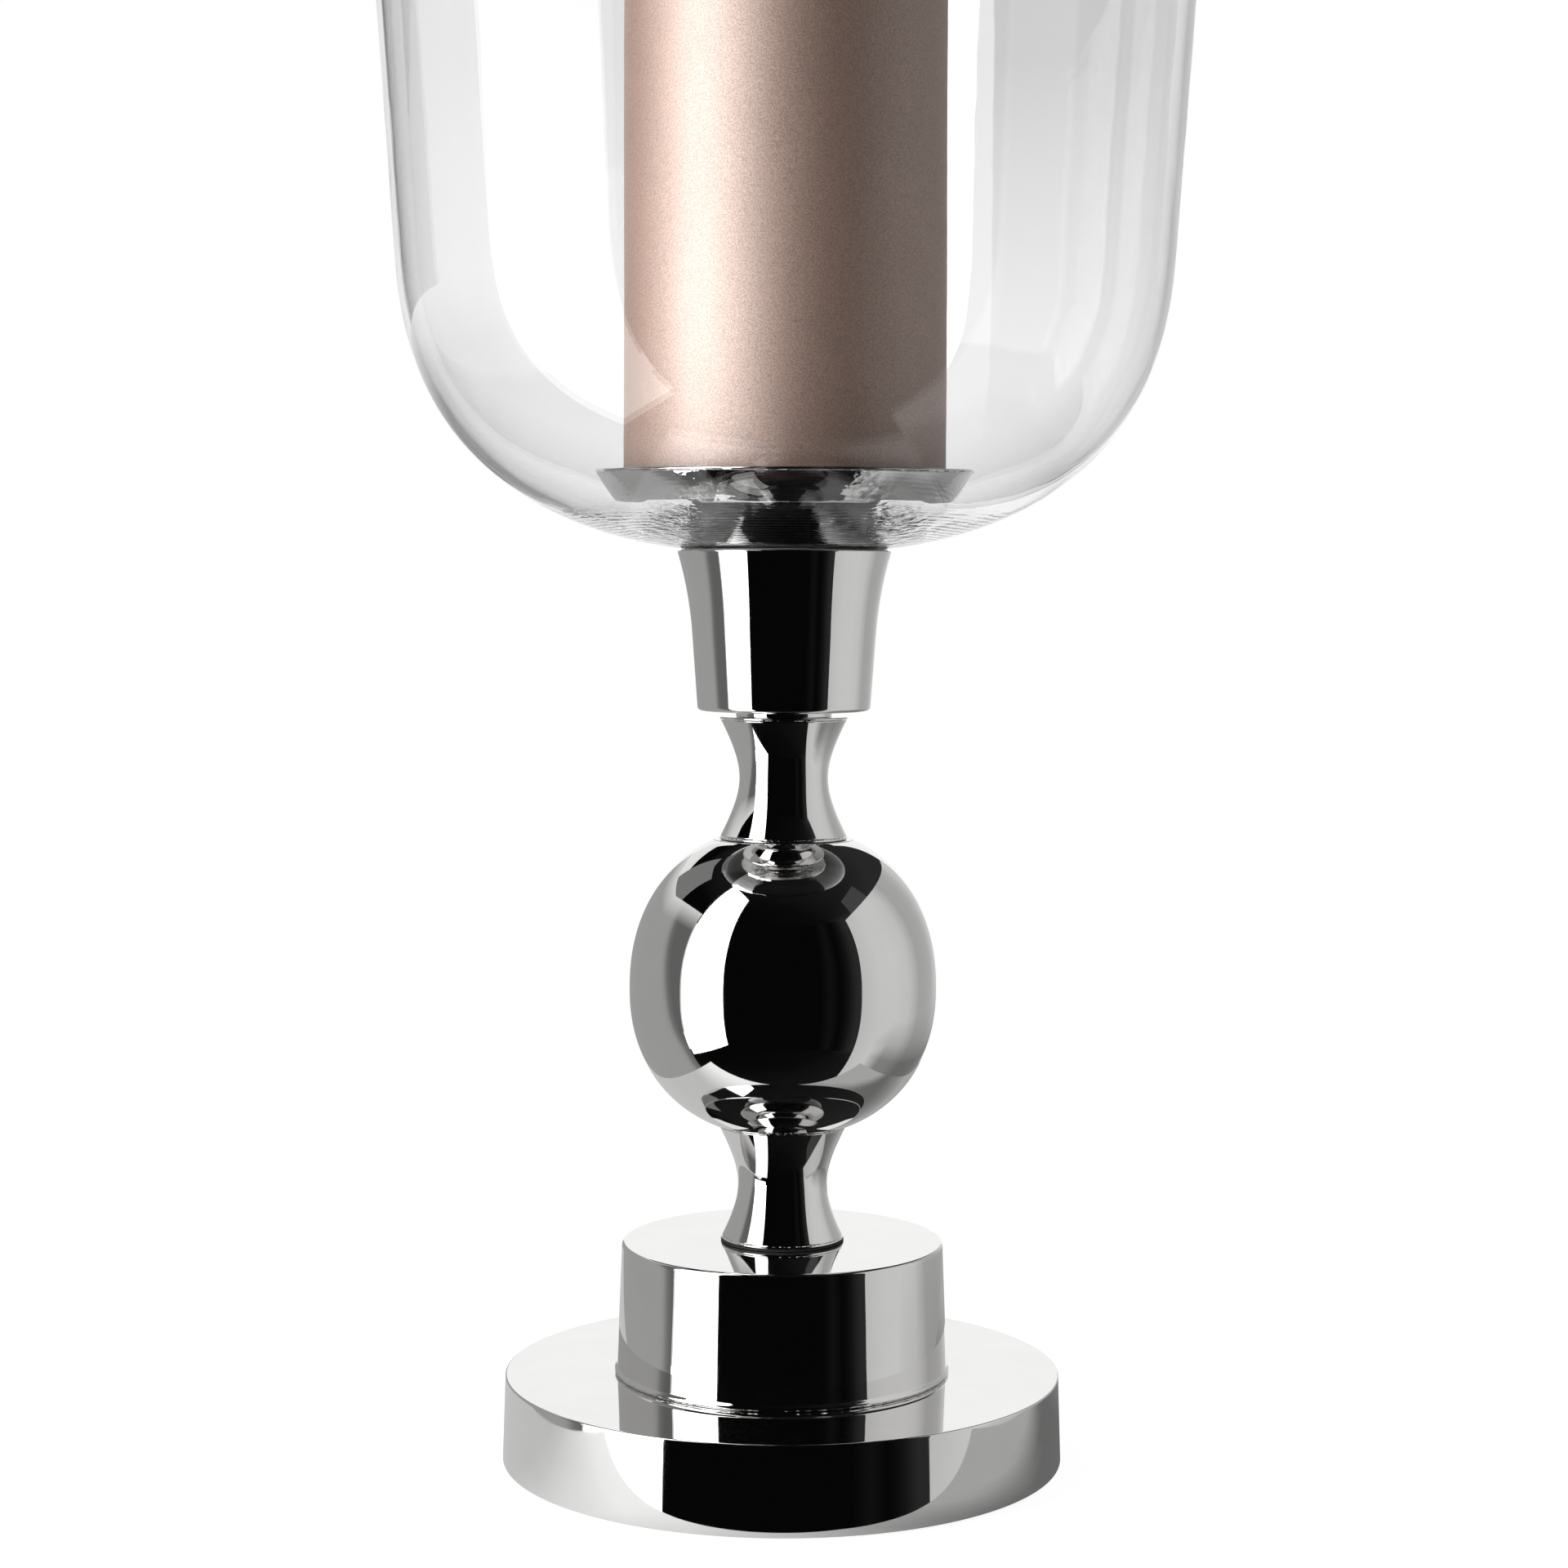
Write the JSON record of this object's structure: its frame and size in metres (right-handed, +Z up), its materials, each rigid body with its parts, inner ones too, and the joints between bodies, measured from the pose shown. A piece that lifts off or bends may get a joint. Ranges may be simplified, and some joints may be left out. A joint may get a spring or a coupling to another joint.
{
  "type": "hurricane candle holder",
  "caption": "Hurricane candle holder: a turned metal stand of disc, drum, ball and waisted necks carries a clear glass bowl with a plate and a pillar candle inside.",
  "frame": {"origin": "on the table, at the middle of the felt pad's underside", "axes": "+Z up along the stand's axis; +Y away from the picture's camera; +X to the right in the picture"},
  "size_m": [0.2672, 0.2672, 0.5643],
  "materials": {
    "polished_nickel": "polished",
    "plain_steel": "satin",
    "black_fibre": "matte",
    "clear_silicone": "satin",
    "dark_felt": "matte",
    "clear_glass": "gloss",
    "rose_lacquer": "satin",
    "cotton_wick": "matte"
  },
  "bodies": {
    "stand": {"felt_pad": "dark_felt", "base_disc": "polished_nickel", "rod_nut": "plain_steel", "lock_washer": "plain_steel", "flat_washer": "plain_steel", "tie_rod": "plain_steel", "drum": "polished_nickel", "drum_washer": "black_fibre", "lower_spool": "polished_nickel", "ball": "polished_nickel", "upper_spool": "polished_nickel", "bowl_holder": "polished_nickel", "seat_ring": "clear_silicone"},
    "bowl": {"glass_bowl": "clear_glass"},
    "gasket": {"glass_gasket": "black_fibre"},
    "spacer": {"plate_spacer": "black_fibre"},
    "plate": {"candle_plate": "polished_nickel", "plate_stud": "plain_steel"},
    "pillar": {"candle": "rose_lacquer", "wick": "cotton_wick"}
  },
  "joints": [
    {"name": "glass_lift", "type": "slide", "parent": "stand", "child": "bowl", "axis": [0, 0, 1], "range_m": [0, 0.06]},
    {"name": "plate_lift", "type": "slide", "parent": "bowl", "child": "gasket", "axis": [0, 0, 1], "range_m": [0, 0.3]},
    {"name": "plate_rise", "type": "slide", "parent": "gasket", "child": "spacer", "axis": [0, 0, 1], "range_m": [0, 0.0105]},
    {"name": "plate_unscrew", "type": "hinge", "parent": "spacer", "child": "plate", "pos_m": [0, 0, 0.298], "axis": [0, 0, 1], "range_deg": [0, 2880]},
    {"name": "candle_lift", "type": "slide", "parent": "plate", "child": "pillar", "axis": [0, 0, 1], "range_m": [0, 0.27]}
  ],
  "couplings": [
    {"joint": "plate_rise", "follows": "plate_unscrew", "m_per_rad": 0.00019894}
  ]
}
